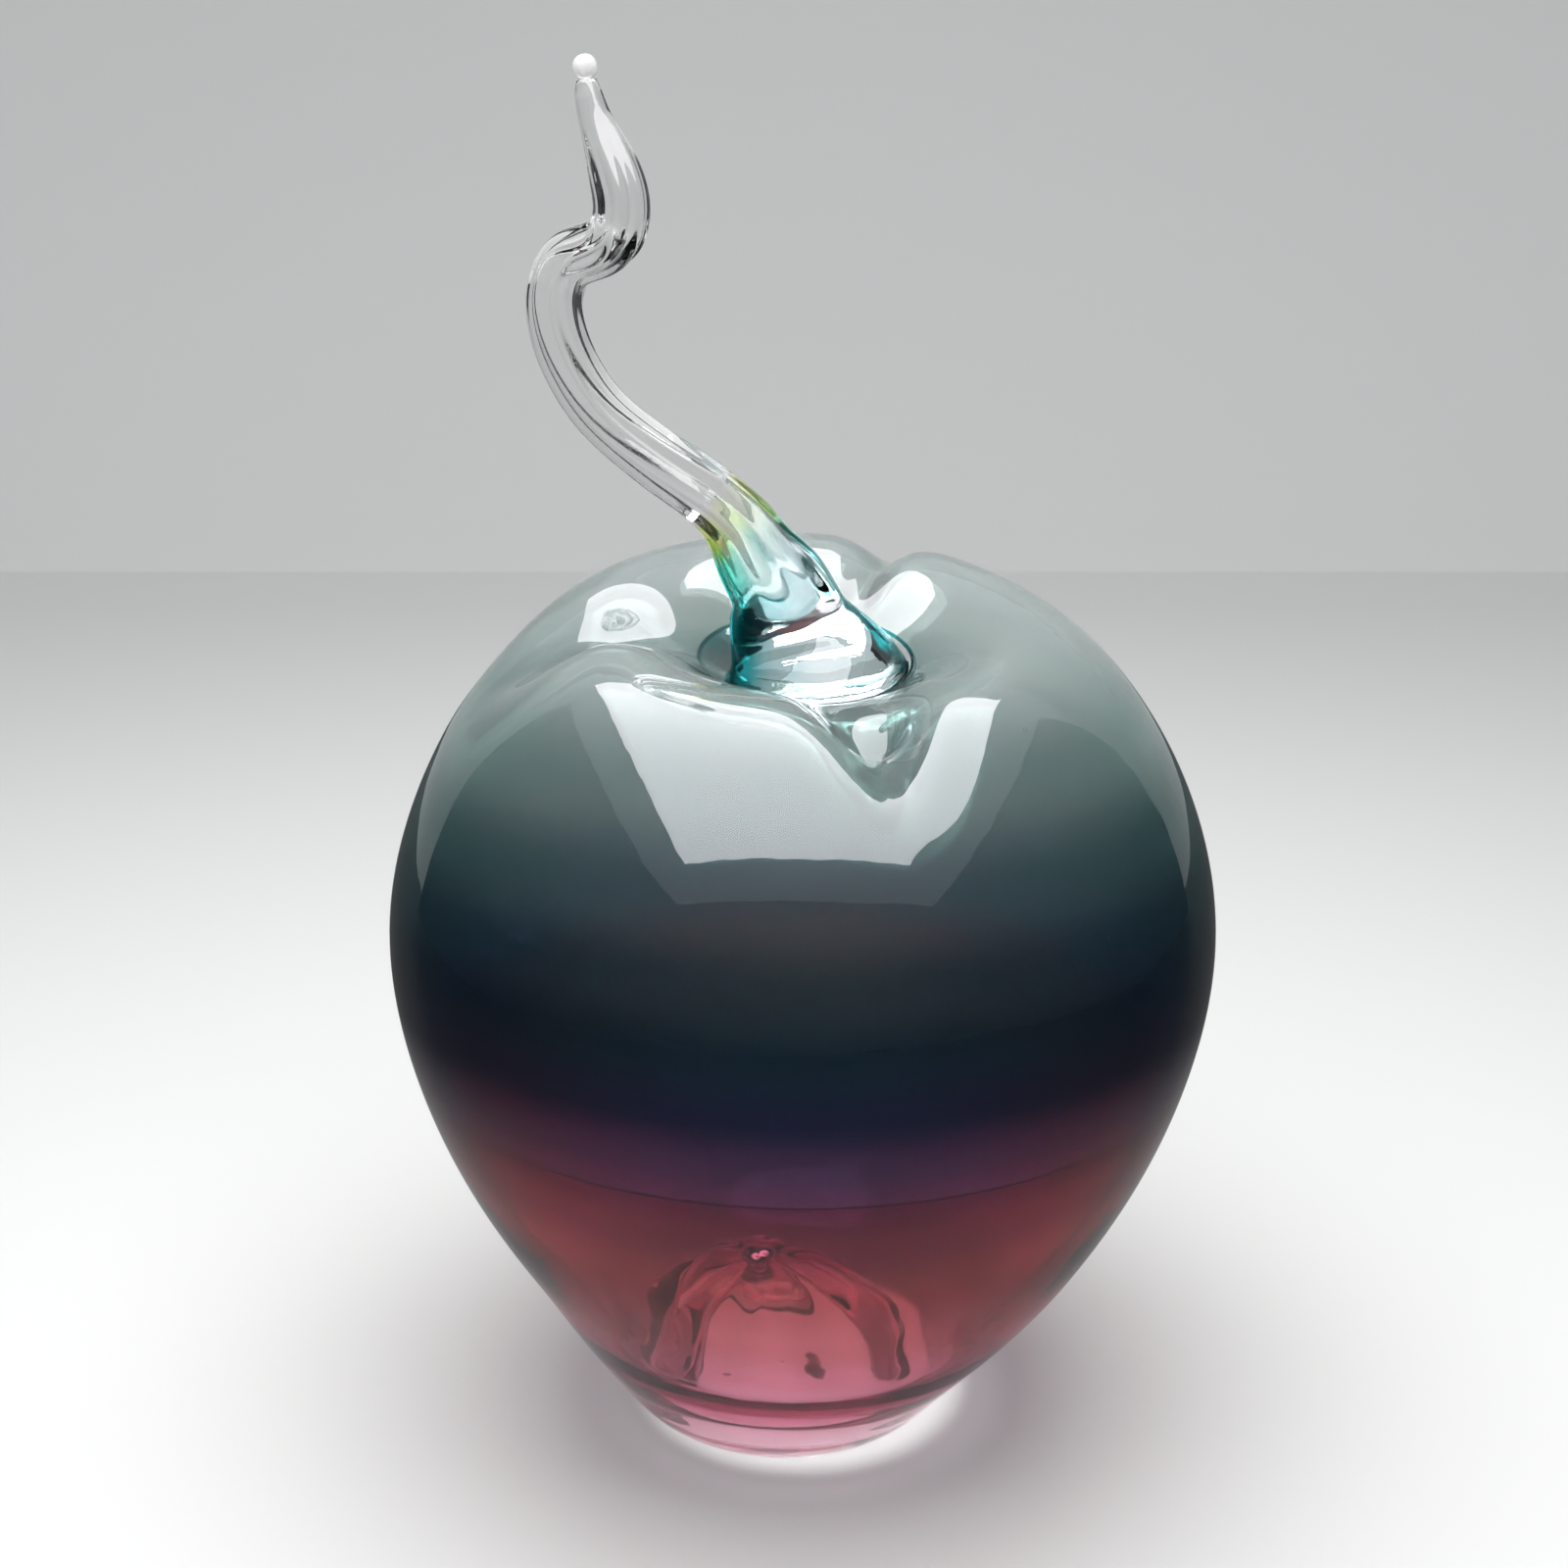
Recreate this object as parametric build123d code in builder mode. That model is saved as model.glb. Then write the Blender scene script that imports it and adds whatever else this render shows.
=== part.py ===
from build123d import *
from math import cos, exp, radians, sin
import os

os.makedirs("parts", exist_ok=True)

# Art glass apple, blown hollow, with a stem of solid glass. Millimetres, degrees and plain shares.
# The apple stands on z = 0, its widest round is centred on the Z axis, and its front looks along -Y.

# Body: the blown outer form
belly_radius = 45.0
belly_height = 59.5
rim_radius = 22.6
rim_height = 93.6
dimple_depth = 7.4
dimple_floor_radius = 4.0
rim_back_lift = 3.4
rim_side_lift = -0.8
top_shift = 0.6
tilt_reach = 43.2
tilt_full = 7.6
tilt_calm = 0.75

# Foot: the thick ring that the apple rests on, and the punt pushed up inside it
foot_radius = 14.4
foot_grind = 0.9
foot_shift = -1.9
foot_shift_height = 22.0
punt_radius = 13.2
punt_height = 12.2
punt_lean = -3.1

# Walls
casing_wall = 1.6
overlay_wall = 0.9
punt_wall = 2.8
foot_glass = 5.4
floor_radius = 16.6
colour_parting_height = 46.0

# Folds that tools pressed into the top while the glass was soft
dent_angle = 286
dent_depth = 7.2
dent_tip_spread = 5.0
dent_rim_spread = 13.0
dent_reach = 18.5
dent_full = -2.8
notch_angle = 68
notch_depth = 2.6
notch_tip_spread = 7.0
notch_rim_spread = 8.0
notch_reach = 15.2
notch_full = 0.0
crook_angle = 184
crook_depth = 4.2
crook_tip_spread = 14.0
crook_rim_spread = 15.0
crook_reach = 21.9
crook_full = 3.0
fold_fade_share = 0.1
fold_end_share = 0.62
fold_gather = 1.14

# Creases of the punt's dome, inside
crease_count = 5
crease_depth = 0.6

# Stem: a bit of clear glass dropped on the dimple, pulled out, curled and cut off
stem_rise = 60.0
stem_reach = 25.5
stem_curl = 2.6
stem_radius = 2.8
stem_root_x = 0.3
stem_root_lift = 2.0
root_radius = 10.4
root_sink = 3.2
collar_wall = 1.5
collar_lip = 0.3
tip_radius = 1.25
tip_seat = 0.25

# Seal: the wad of glass that closes the blowing hole at the punt's crown
seal_radius = 1.5
seal_bead_radius = 2.2
seal_bead_lift = 1.1
seal_button_radius = 2.2
seal_button_drop = 1.0

# Rings of points that the skins run through, and where each skin closes on itself: at three places,
# so that no two closing lines lie on each other
rings_per_skin = 48
points_per_ring = 48
outer_seam = 186
inside_seam = 6
hollow_seam = 96

# Half section of the side, from the foot to the belly: shares of the way out, and of the belly's height
side_shares = [
    (0.052, -0.006), (0.098, 0.015), (0.193, 0.071), (0.353, 0.178), (0.562, 0.334), (0.794, 0.548), (0.948, 0.770),
]

# Half section of the shoulder and of the dimple: shares of the way in, and of the rise or the depth
shoulder_shares = [(0.866, 0.402), (0.607, 0.713), (0.3125, 0.912)]
dimple_shares = [(0.634, 0.297), (0.344, 0.784)]

# The casing's thickness from the foot's side to the dimple's floor, as shares of casing_wall
wall_shares = [1.6, 1.3, 1.1, 1.0, 1.0, 1.0, 1.0, 1.0, 1.0, 1.1, 1.2, 1.3]

# The punt's dome from its mouth to its crown: shares of its radius and of its height
dome_shares = [(1.09, -0.08), (1.0, 0.0), (0.91, 0.2), (0.76, 0.54), (0.5, 0.83), (0.32, 0.96), (0.197, 1.0)]

# Line of the stem from its root to its neck: sideways, forwards, up, and its radius.
# Sideways is a share of stem_reach, forwards of stem_curl, up of stem_rise, and the radius is one of the root's
# radius in the first list and of the stem's in the second.
root_line_shares = [
    (0.000, 0.0, 0.000, 1.00), (0.020, 0.0, 0.040, 0.78), (0.067, 0.0, 0.083, 0.625),
    (0.110, 0.0, 0.133, 0.52), (0.192, 0.0, 0.182, 0.43), (0.271, 0.0, 0.237, 0.35),
]
rod_line_shares = [
    (0.396, 0.0, 0.290, 1.16), (0.545, 0.0, 0.337, 1.11), (0.694, -0.08, 0.385, 1.05),
    (0.839, -0.15, 0.443, 1.01), (0.933, -0.30, 0.505, 1.00), (0.998, -0.54, 0.582, 1.00),
    (1.000, -0.73, 0.640, 1.00), (0.945, -0.46, 0.687, 0.99), (0.847, 0.23, 0.708, 0.98),
    (0.751, 0.92, 0.733, 0.98), (0.722, 1.00, 0.777, 0.96), (0.741, 0.69, 0.827, 0.93),
    (0.780, 0.38, 0.875, 0.79), (0.825, 0.15, 0.925, 0.59), (0.850, 0.0, 0.977, 0.39), (0.852, 0.0, 0.986, 0.33),
]

folds = [
    (dent_angle, dent_depth, dent_tip_spread, dent_rim_spread, dent_reach, dent_full),
    (notch_angle, notch_depth, notch_tip_spread, notch_rim_spread, notch_reach, notch_full),
    (crook_angle, crook_depth, crook_tip_spread, crook_rim_spread, crook_reach, crook_full),
]


def smooth(value, start, end):
    """0 at start and 1 at end, level at both."""
    t = min(max((value - start) / (end - start), 0), 1)
    return t * t * (3 - 2 * t)


def half_section(points):
    """A smooth line in the XZ plane through points of radius and height."""
    with BuildLine() as line:
        Spline([(radius, 0, height) for radius, height in points])
    return line.edge()


def moved_in(points, depths):
    """A half section moved into the glass by a depth at each of its points."""
    line = half_section(points)
    moved = []
    for (radius, height), depth in zip(points, depths):
        along = line.tangent_at(line.param_at_point((radius, 0, height)))
        moved.append((radius - depth * along.Z, height + depth * along.X))
    return moved


def body_points():
    """The outer skin's half section, from under the foot over the belly and the rim to the dimple's floor."""
    side_width = belly_radius - foot_radius
    top_width = belly_radius - rim_radius
    top_height = rim_height - belly_height
    dimple_width = rim_radius - dimple_floor_radius
    points = [(foot_radius, -foot_grind)]
    points += [(foot_radius + side_width * out, belly_height * up) for out, up in side_shares]
    points += [(belly_radius, belly_height)]
    points += [(rim_radius + top_width * out, belly_height + top_height * up) for out, up in shoulder_shares]
    points += [(rim_radius, rim_height)]
    points += [(dimple_floor_radius + dimple_width * out, rim_height - dimple_depth * up) for out, up in dimple_shares]
    points += [(dimple_floor_radius, rim_height - dimple_depth)]
    return points


def inside_points():
    """The half section of the casing's inner skin, from the glass floor to the dimple's floor."""
    depths = [casing_wall * share for share in wall_shares]
    wall = moved_in(body_points()[-len(depths):], depths)
    return [(floor_radius, foot_glass)] + wall


def hollow_points():
    """The half section of the hollow: the casing's inner skin, moved in by a colour layer."""
    inside = inside_points()
    wall = moved_in(inside, [overlay_wall] * len(inside))
    return [(floor_radius - overlay_wall / 2, foot_glass + overlay_wall)] + wall[1:]


def blown_point(angle, place, along, run, dive, gather):
    """One point of a skin: its half section's point, turned, with the folds pressed in, the tilt and the shifts.

    run is the way back along the half section from the rim's crest, positive down the shoulder.
    dive is the share of the way from the crest to the dimple's floor.
    gather is how many times deeper than the outer skin's the folds go, where glass gathers in them.
    """
    press = 0
    for fold_angle, depth, tip_spread, rim_spread, reach, full in folds:
        grown = 1 - smooth(run, full, reach)
        spread = tip_spread + (rim_spread - tip_spread) * grown
        turn = (angle - fold_angle + 180) % 360 - 180
        press += depth * grown * exp(-((turn / spread) ** 2))
    press *= gather * (1 - smooth(dive, fold_fade_share, fold_end_share))
    radius = place.X - press * along.Z
    height = place.Z + press * along.X
    tilt = (1 - smooth(run, tilt_full, tilt_reach)) * (1 - tilt_calm * smooth(dive, fold_fade_share, 1))
    height += tilt * (rim_back_lift * sin(radians(angle)) + rim_side_lift * cos(radians(angle)))
    low = 1 - smooth(place.Z, 0, foot_shift_height)
    x = radius * cos(radians(angle)) + foot_shift * low + top_shift * tilt
    return x, radius * sin(radians(angle)), height


def blown_form(points, seam, gather=1):
    """The closed form inside one skin: rings of points along a half section, and a smooth surface through them.

    seam is the angle at which every ring begins and ends, and gather deepens the folds.
    """
    line = half_section(points)
    radius, height = points[-len(dimple_shares) - 2]
    crest = line.param_at_point((radius, 0, height))
    stations = [i / points_per_ring for i in range(points_per_ring + 1)]
    rings = []
    for i in range(rings_per_skin + 1):
        share = i / rings_per_skin
        place = line.position_at(share)
        along = line.tangent_at(share)
        run = (crest - share) * line.length
        dive = max(0, (share - crest) / (1 - crest))
        ring = [blown_point(seam + 360 * s, place, along, run, dive, gather) for s in stations[:-1]]
        rings.append(Wire([Edge.make_spline(ring, periodic=True, parameters=stations)]))
    return Solid.make_loft(rings)


def dome_form(swell, crease):
    """The dome of the punt, swollen by a thickness of glass, with creases that fade out towards its mouth."""
    turns = [360 * i / points_per_ring for i in range(points_per_ring)]
    with BuildPart() as dome:
        for out, up in dome_shares:
            radius = (punt_radius + swell) * out
            height = (punt_height + swell) * up
            rise = smooth(up, 0, 1)
            x = foot_shift + punt_lean * rise
            waves = [radius + crease * rise * sin(radians(crease_count * turn)) for turn in turns]
            ring = [(x + w * cos(radians(t)), w * sin(radians(t))) for w, t in zip(waves, turns)]
            with BuildSketch(Plane.XY.offset(height)):
                with BuildLine():
                    Spline(ring, periodic=True)
                make_face()
        loft()
    return dome.part


def half_of(form, side):
    """The share of a form above or below the height where the two colours part."""
    with BuildPart() as half:
        add(form)
        split(bisect_by=Plane.XY.offset(colour_parting_height), keep=side)
    return half.part


def stem_stations():
    """The stem's centres and radii from its sunk root to its neck, and how many of them the collar wraps."""
    root = [(side, front, up, root_radius * share) for side, front, up, share in root_line_shares]
    rod = [(side, front, up, stem_radius * share) for side, front, up, share in rod_line_shares]
    sunk = (0, 0, -root_sink / stem_rise, root_radius + root_sink)
    foot_height = rim_height - dimple_depth + stem_root_lift
    stations = []
    for side, front, up, radius in [sunk] + root + rod:
        centre = (stem_root_x - stem_reach * side, -stem_curl * front, foot_height + stem_rise * up)
        stations.append((centre, radius))
    return stations, len(root) + 2


def rod_form(stations, line):
    """A rod that follows a line, round at every station and square to the line there."""
    with BuildPart() as rod:
        for centre, radius in stations:
            plane = Plane(centre, x_dir=(0, 1, 0), z_dir=line.tangent_at(line.param_at_point(centre)))
            with BuildSketch(plane):
                Circle(radius)
        loft()
    return rod.part


# The forms that neighbouring pieces share
outer_form = blown_form(body_points(), outer_seam)
punt_form = dome_form(0, 0)
crown_x = foot_shift + punt_lean

with BuildPart() as seal_hole:
    with Locations((crown_x, 0, punt_height)):
        Cylinder(seal_radius, punt_wall + overlay_wall, align=(Align.CENTER, Align.CENTER, Align.MIN))

with BuildPart() as casing_space:
    add(blown_form(inside_points(), inside_seam))
    add(dome_form(punt_wall, crease_depth), mode=Mode.SUBTRACT)

# The hollow with its hole, and all that the casing leaves free: each is one form that reaches the open,
# so that nothing closed is left floating inside the glass that it is taken from
with BuildPart() as open_hollow:
    add(blown_form(hollow_points(), hollow_seam, fold_gather))
    add(dome_form(punt_wall + overlay_wall, crease_depth), mode=Mode.SUBTRACT)
    add(seal_hole.part)

with BuildPart() as open_space:
    add(casing_space.part)
    add(seal_hole.part)
    add(punt_form)

# The stem's line, the stem as it would be without its collar and seat, and the collar round its root
stations, collar_stations = stem_stations()
with BuildLine() as stem_line:
    Spline([centre for centre, radius in stations])
line = stem_line.edge()
covers = [collar_lip + (collar_wall - collar_lip) * (1 - i / (collar_stations - 1)) for i in range(collar_stations)]
covered = [(centre, radius - cover) for (centre, radius), cover in zip(stations, covers)]
stem_form = rod_form(covered + stations[collar_stations:], line)
collar_form = rod_form(stations[:collar_stations], line)

# Clear casing: the outer gather, with its ground foot, the punt and the hole of the blowpipe
with BuildPart() as clear_casing:
    add(outer_form)
    add(open_space.part, mode=Mode.SUBTRACT)
    split(bisect_by=Plane.XY, keep=Keep.TOP)
clear_casing.part.label = "clear_casing"
export_step(clear_casing.part, "parts/clear_casing.step")

# Teal overlay: the colour layer inside the upper half
with BuildPart() as teal_overlay:
    add(half_of(casing_space.part, Keep.TOP))
    add(half_of(open_hollow.part, Keep.TOP), mode=Mode.SUBTRACT)
teal_overlay.part.label = "teal_overlay"
export_step(teal_overlay.part, "parts/teal_overlay.step")

# Ruby overlay: the colour layer inside the lower half and over the punt
with BuildPart() as ruby_overlay:
    add(half_of(casing_space.part, Keep.BOTTOM))
    add(half_of(open_hollow.part, Keep.BOTTOM), mode=Mode.SUBTRACT)
ruby_overlay.part.label = "ruby_overlay"
export_step(ruby_overlay.part, "parts/ruby_overlay.step")

# Stem: the clear bit, set on the dimple
with BuildPart() as stem:
    add(stem_form)
    add(outer_form, mode=Mode.SUBTRACT)
stem.part.label = "stem"
export_step(stem.part, "parts/stem.step")

# Stem collar: the coloured glass drawn up round the stem's root
with BuildPart() as stem_collar:
    add(collar_form)
    add(outer_form, mode=Mode.SUBTRACT)
    add(stem_form, mode=Mode.SUBTRACT)
stem_collar.part.label = "stem_collar"
export_step(stem_collar.part, "parts/stem_collar.step")

# Stem tip: the bead left where the stem was melted off
with BuildPart() as stem_tip:
    with Locations((line @ 1) + (line % 1) * (tip_radius - tip_seat)):
        Sphere(tip_radius)
    add(stem_form, mode=Mode.SUBTRACT)
stem_tip.part.label = "stem_tip"
export_step(stem_tip.part, "parts/stem_tip.step")

# Pontil seal: a plug in the hole, with a bead on the hollow's side and a button on the underside
with BuildPart() as pontil_seal:
    with Locations((crown_x, 0, punt_height + punt_wall + overlay_wall + seal_bead_lift - seal_bead_radius)):
        Sphere(seal_bead_radius)
    with Locations((crown_x, 0, punt_height - seal_button_drop + seal_button_radius)):
        Sphere(seal_button_radius)
    add(ruby_overlay.part, mode=Mode.SUBTRACT)
    add(clear_casing.part, mode=Mode.SUBTRACT)
    add(seal_hole.part)
pontil_seal.part.label = "pontil_seal"
export_step(pontil_seal.part, "parts/pontil_seal.step")
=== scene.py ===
import math

import bpy
import numpy as np
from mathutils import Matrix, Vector


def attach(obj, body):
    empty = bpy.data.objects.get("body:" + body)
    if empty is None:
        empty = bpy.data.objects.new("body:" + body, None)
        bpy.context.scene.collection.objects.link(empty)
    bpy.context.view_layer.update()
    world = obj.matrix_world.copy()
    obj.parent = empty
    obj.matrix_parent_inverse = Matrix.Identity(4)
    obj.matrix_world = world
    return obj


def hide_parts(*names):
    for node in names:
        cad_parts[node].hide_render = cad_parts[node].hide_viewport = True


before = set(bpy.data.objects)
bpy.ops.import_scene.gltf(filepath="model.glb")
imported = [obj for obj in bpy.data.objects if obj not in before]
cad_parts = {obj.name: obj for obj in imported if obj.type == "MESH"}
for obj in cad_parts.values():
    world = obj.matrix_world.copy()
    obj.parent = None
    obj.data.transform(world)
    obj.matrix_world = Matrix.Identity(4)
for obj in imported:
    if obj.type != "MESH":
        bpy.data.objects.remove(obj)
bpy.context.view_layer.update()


# Clear casing
# The outer gather of clear glass, blown to a thin-walled apple, its top pressed into a dimple with three
# folds and its punt pushed up inside a thick foot ring. The colour layers are fused into it, so its mesh runs
# through to the hollow and they lie inside it. Lengths are millimetres until the mesh is made.

MM = 0.001
turns = 288
body_stations = 130
layer_stations = 190
fine_stations = 4000

# Half section of the outside, from the crown of the punt to the middle of the dimple: radius and height
punt_outline = [(0, 12.2), (2.6, 12.15), (4.6, 11.6), (6.9, 10.1), (10.0, 6.6), (12.0, 2.5), (13.3, 0.5)]
foot_outline = [(14.8, 0.0), (16.0, 0.05), (17.5, 0.95), (20.3, 4.2)]
side_outline = [(25.2, 10.6), (31.6, 19.9), (38.7, 32.6), (43.4, 45.8), (45.0, 59.5)]
top_outline = [(42.0, 73.2), (36.2, 83.8), (29.6, 90.6), (22.6, 93.6)]
dimple_outline = [(15.8, 91.4), (10.4, 87.8), (4.0, 86.2), (0, 86.0)]

# The ruby layer's face over the punt: the dome, and the moat round the dome, down in the foot ring
dome_outline = [(0, 15.0), (3.3, 14.95), (6.0, 14.25), (9.2, 12.1), (12.7, 7.2), (14.2, 4.0), (15.6, 2.9),
                (17.1, 3.3)]

# The glass outside the colour layers, its share at each point from the foot's edge to the dimple's middle,
# and the glass between the layers' face and the hollow
casing_wall = 1.6
wall_shares = [1.6, 1.3, 1.1] + [1.0] * 7 + [1.1, 1.2, 1.3, 1.3]
overlay_wall = 0.9

# The foot stands off the axis up to a height, the punt leans further, and the top is a little off it too
foot_shift = -1.9
foot_shift_height = 22.0
punt_lean = -3.1
punt_height = 12.2
top_shift = 0.6

# The rim's tilt: its lift at the back and on the right, the lengths down the shoulder where it ends and where
# it is full, how much of it the dimple loses, and the radius inside which it fades out
rim_back_lift = 3.4
rim_side_lift = -0.8
tilt_reach = 43.2
tilt_full = 7.6
tilt_calm = 0.75
dimple_floor_radius = 4.0

# Each fold: its angle, its depth, its spread in degrees at the tip and at the rim, how far it reaches down
# the shoulder from the crest, and how far from the crest it is at its full depth
folds = [
    (286, 7.2, 5.0, 13.0, 18.5, -2.8),
    (68, 2.6, 7.0, 8.0, 15.2, 0.0),
    (184, 4.2, 14.0, 15.0, 21.9, 3.0),
]

# Shares of the way down into the dimple where a fold starts to fade, and where it ends
fold_fade_share = 0.1
fold_end_share = 0.62

# Each wave crumpled into the dome: its size, its crests round the dome, its turn up the dome, and its start.
# Then the dome's two wings: their size, and the shares of its height over which they grow and fade. Both are
# multiplied by the crease, and fade out inside the crown's radius.
crumple_waves = [(0.6, 5, 0, 0), (0.55, 8, 3, 0), (0.35, 11, -5, 2)]
wing_size = 2.6
wing_foot = (0.15, 0.6)
wing_top = (0.8, 1)
dome_crease = 0.6
crown_radius = 4.0


def smooth(value, start, end):
    """0 at start, 1 at end, level at both: t squared times (3 - 2t)."""
    t = np.clip((value - start) / (end - start), 0, 1)
    return t * t * (3 - 2 * t)


def curve_through(points, count, steps_per_point=40):
    """A cubic spline through points in any number of dimensions, its knots a chord apart and its ends free,
    sampled at even steps of its length. Returns the samples and the length at each given point."""
    points = np.asarray(points, float)
    chord = np.linalg.norm(np.diff(points, axis=0), axis=1)
    knots = np.concatenate([[0], np.cumsum(chord)])
    n = len(points)
    system = np.eye(n)
    pull = np.zeros_like(points)
    rows = np.arange(1, n - 1)
    system[rows, rows - 1] = chord[:-1]
    system[rows, rows] = 2 * (chord[:-1] + chord[1:])
    system[rows, rows + 1] = chord[1:]
    slope = np.diff(points, axis=0) / chord[:, None]
    pull[1:-1] = 6 * np.diff(slope, axis=0)
    bend = np.linalg.solve(system, pull)

    def at(place):
        """The spline at places along its knots: in each span, a cubic of the ways to its two ends."""
        i = np.clip(np.searchsorted(knots, place, side="right") - 1, 0, n - 2)
        span = chord[i][:, None]
        ahead = (knots[i + 1] - place)[:, None]
        behind = (place - knots[i])[:, None]
        cubic = (bend[i] * ahead ** 3 + bend[i + 1] * behind ** 3) / (6 * span)
        from_start = (points[i] / span - bend[i] * span / 6) * ahead
        from_end = (points[i + 1] / span - bend[i + 1] * span / 6) * behind
        return cubic + from_start + from_end

    fine = np.linspace(0, knots[-1], steps_per_point * n)
    path = at(fine)
    length = np.concatenate([[0], np.cumsum(np.linalg.norm(np.diff(path, axis=0), axis=1))])
    even = np.linspace(0, length[-1], count)
    samples = at(np.interp(even, length, fine))
    return samples, np.interp(knots, fine, length)


def section_of(outline, count):
    """A half section at even steps: the points, their lengths along it, the unit direction along it at each,
    and the lengths of the points that the outline gives."""
    samples, marks = curve_through(outline, count)
    lengths = np.linspace(0, marks[-1], count)
    along = np.gradient(samples, lengths, axis=0)
    along /= np.linalg.norm(along, axis=1, keepdims=True)
    return samples, lengths, along, marks


def fold_press(angle, run):
    """How deep the folds are pressed in, at an angle and at a length down the shoulder from the crest: for
    each fold its depth, faded along its reach, times a bell curve of the angle that narrows to the tip."""
    press = 0
    for centre, depth, tip_spread, rim_spread, reach, full in folds:
        grown = 1 - smooth(run, full, reach)
        spread = tip_spread + (rim_spread - tip_spread) * grown
        off = (np.degrees(angle) - centre + 180) % 360 - 180
        press = press + depth * grown * np.exp(-((off / spread) ** 2))
    return press


def tilt_share(run, dive, radius):
    """How much of the rim's tilt a place takes: all of it at the crest, less down the shoulder and down the
    dimple, and none in the dimple's middle."""
    share = (1 - smooth(run, tilt_full, tilt_reach)) * (1 - tilt_calm * smooth(dive, fold_fade_share, 1))
    return share * np.clip(radius / dimple_floor_radius, 0, 1)


def tilt_lift(angle):
    """How far the tilted rim is lifted at an angle: a sine to the back and a cosine to the side."""
    return rim_back_lift * np.sin(angle) + rim_side_lift * np.cos(angle)


def dome_crumple(angle, rise):
    """How far the punt's dome is pushed out at an angle and at a share of its height: sine waves that grow
    with the height, and two wings in a band of it, the cosine of twice the angle times the angle's cosine
    without its sign."""
    crumple = 0
    for size, crests, turn, start in crumple_waves:
        crumple = crumple + size * np.sin(crests * angle + turn * rise + start)
    band = wing_size * smooth(rise, *wing_foot) * (1 - smooth(rise, *wing_top))
    wings = band * np.cos(2 * angle) * np.abs(np.cos(angle))
    return rise * crumple + wings


def blown_skin(outline, crest, floor, dome_end, count, crease=0.0):
    """A skin of the apple as a grid of stations by turns. Each point is the half section's point turned
    round the axis, pressed in along the section's normal by the folds, lifted by the rim's tilt, pushed out
    by the dome's crumples times the crease, and shifted by the foot, the punt's lean and the top. None of
    them goes under the table."""
    samples, lengths, along, marks = section_of(outline, count)
    angle = np.linspace(0, 2 * np.pi, turns, endpoint=False)[None, :]
    run = (marks[crest] - lengths)[:, None]
    dive = np.clip(-run / (marks[floor] - marks[crest]), 0, 1)
    press = fold_press(angle, run) * (1 - smooth(dive, fold_fade_share, fold_end_share))
    radius = samples[:, :1] - press * along[:, 1:]
    height = samples[:, 1:] + press * along[:, :1]
    tilt = tilt_share(run, dive, samples[:, :1])
    height = height + tilt * tilt_lift(angle)
    dome = (lengths < marks[dome_end])[:, None]
    rise = np.where(dome, smooth(samples[:, 1:], 0, punt_height), 0)
    low = np.where(dome, 1, 1 - smooth(samples[:, 1:], 0, foot_shift_height))
    radius = radius + crease * dome_crumple(angle, rise) * np.clip(samples[:, :1] / crown_radius, 0, 1)
    x = radius * np.cos(angle) + foot_shift * low + punt_lean * rise + top_shift * tilt
    y = radius * np.sin(angle)
    return np.stack([x, y, np.maximum(height, 0) + 0 * x], axis=2)


def skin_mesh(grid, inward=False):
    """Vertices and faces of a grid whose first and last rows close to one point each. The faces point
    outwards or, turned inward, to the air that the skin holds."""
    rows, columns = grid.shape[:2]
    inner = grid[1:-1].reshape(-1, 3)
    vertices = np.vstack([inner, grid[0].mean(axis=0), grid[-1].mean(axis=0)])
    i = np.arange(rows - 3)[:, None] * columns
    j = np.arange(columns)[None, :]
    k = (j + 1) % columns
    quads = np.stack([i + j, i + k, i + columns + k, i + columns + j], axis=2).reshape(-1, 4)
    first = np.full_like(j, len(inner))
    end = (rows - 3) * columns
    first_cap = np.stack([first, k, j], axis=2)[0]
    last_cap = np.stack([first + 1, end + j, end + k], axis=2)[0]
    faces = quads.tolist() + first_cap.tolist() + last_cap.tolist()
    if inward:
        faces = [face[::-1] for face in faces]
    return vertices, faces


def mesh_object(name, shells):
    """One mesh object from shells of vertices in millimetres and faces, shaded smooth."""
    vertices, faces, start = [], [], 0
    for shell_vertices, shell_faces in shells:
        vertices.append(shell_vertices)
        faces += [[start + v for v in face] for face in shell_faces]
        start += len(shell_vertices)
    mesh = bpy.data.meshes.new(name)
    mesh.from_pydata((np.vstack(vertices) * MM).tolist(), [], faces)
    mesh.polygons.foreach_set("use_smooth", [True] * len(mesh.polygons))
    mesh.update()
    made = bpy.data.objects.new(name, mesh)
    bpy.context.scene.collection.objects.link(made)
    return made


def offset_outline(outline, depths):
    """A half section moved into the glass: each point goes along the normal there by its depth."""
    points = np.asarray(outline, float)
    _, lengths, along, marks = section_of(points, fine_stations)
    at = np.stack([np.interp(marks, lengths, along[:, k]) for k in (0, 1)], axis=1)
    depths = np.asarray(depths, float)[:, None]
    return points + depths * np.stack([-at[:, 1], at[:, 0]], axis=1)


def inward_of(grid):
    """The unit normals of a skin's grid, pointing to the side that the hollow is on: the cross product of
    the steps along the stations and along the turns, evened over the rows next to the two poles."""
    down = np.gradient(grid, axis=0)
    across = np.roll(grid, -1, axis=1) - np.roll(grid, 1, axis=1)
    normal = np.cross(down, across)
    normal[0] = normal[1].mean(axis=0)
    normal[-1] = normal[-2].mean(axis=0)
    return normal / np.linalg.norm(normal, axis=2, keepdims=True)


outer_outline = punt_outline + foot_outline + side_outline + top_outline + dimple_outline
crest = len(outer_outline) - len(dimple_outline) - 1
floor = len(outer_outline) - 2
outer_skin = blown_skin(outer_outline, crest, floor, len(punt_outline), body_stations)

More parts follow.
